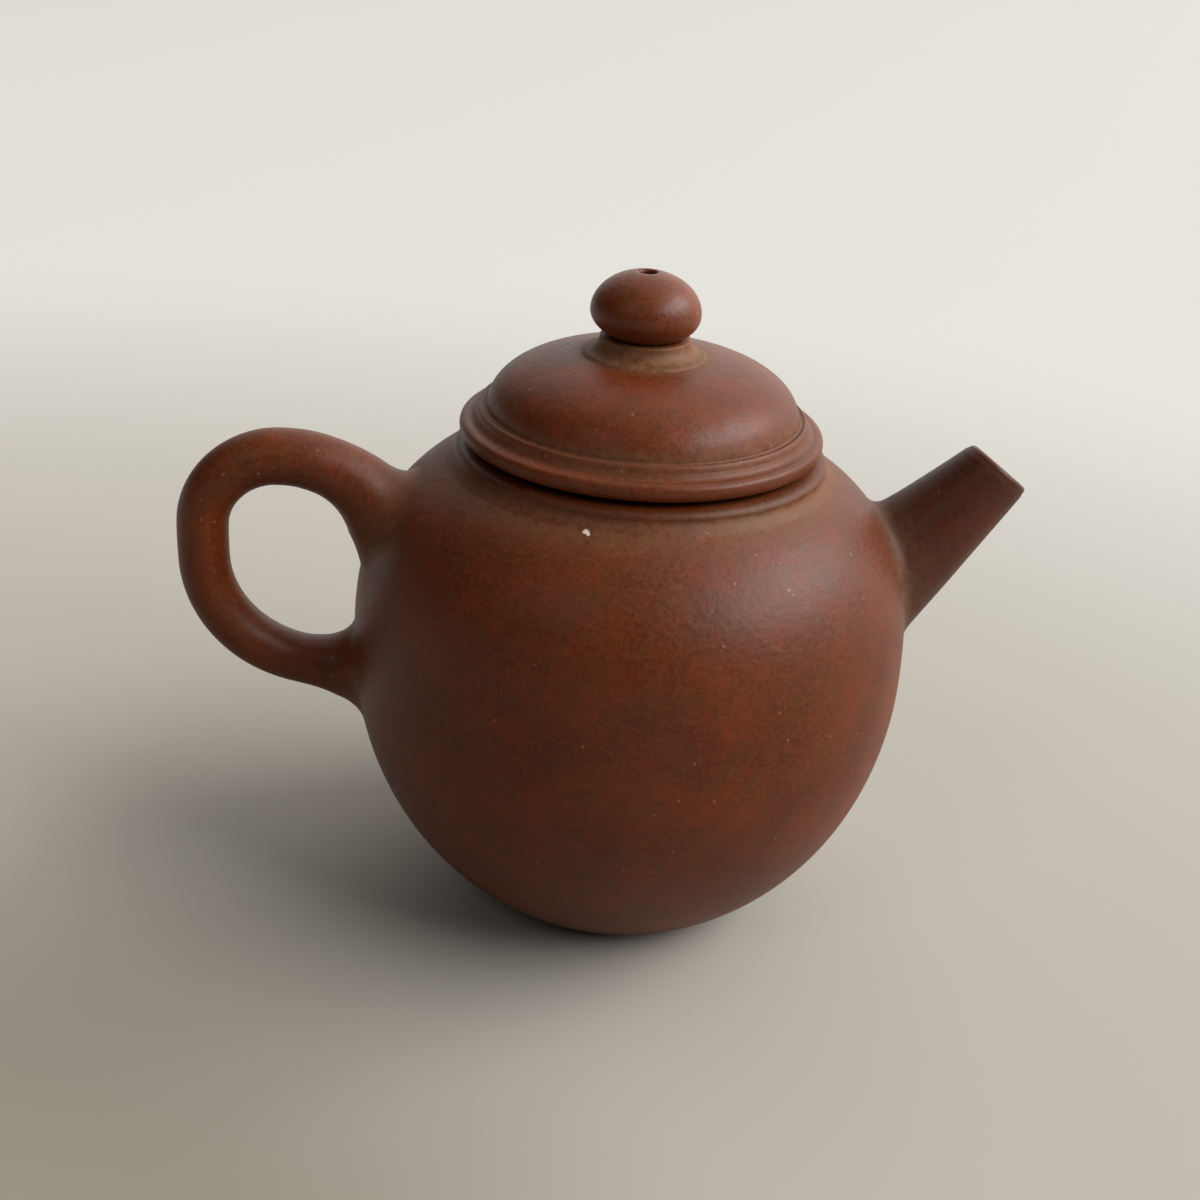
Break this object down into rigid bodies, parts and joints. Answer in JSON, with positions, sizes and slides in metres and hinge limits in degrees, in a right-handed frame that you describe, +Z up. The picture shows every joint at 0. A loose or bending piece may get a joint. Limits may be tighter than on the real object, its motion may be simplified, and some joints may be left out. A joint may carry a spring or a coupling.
{
  "type": "teapot",
  "caption": "Small round zisha clay teapot with a straight spout, a loop handle and a lift-off domed lid with a flattened ball knob.",
  "frame": {"origin": "on the pot's axis, in the plane that the foot stands on", "axes": "+Z up along the pot's axis, +X towards the spout, -X towards the handle, +Y to the pot's left side"},
  "size_m": [0.1055, 0.07, 0.0831],
  "materials": {
    "zisha_stoneware": "unglazed, burnished to a soft satin",
    "zisha_stoneware_lid": "unglazed, burnished to a soft satin"
  },
  "bodies": {
    "pot": {"body_wall": "zisha_stoneware", "base_disc": "zisha_stoneware", "mouth_disc": "zisha_stoneware", "neck_ring": "zisha_stoneware", "spout": "zisha_stoneware", "handle": "zisha_stoneware"},
    "lid": {"lid_rim": "zisha_stoneware_lid", "lid_flange": "zisha_stoneware_lid", "lid_dome": "zisha_stoneware_lid", "knob_collar": "zisha_stoneware_lid", "knob": "zisha_stoneware_lid"}
  },
  "joints": [
    {"name": "lid_lift", "type": "slide", "parent": "pot", "child": "lid", "axis": [0, 0, 1], "range_m": [0, 0.04]}
  ]
}
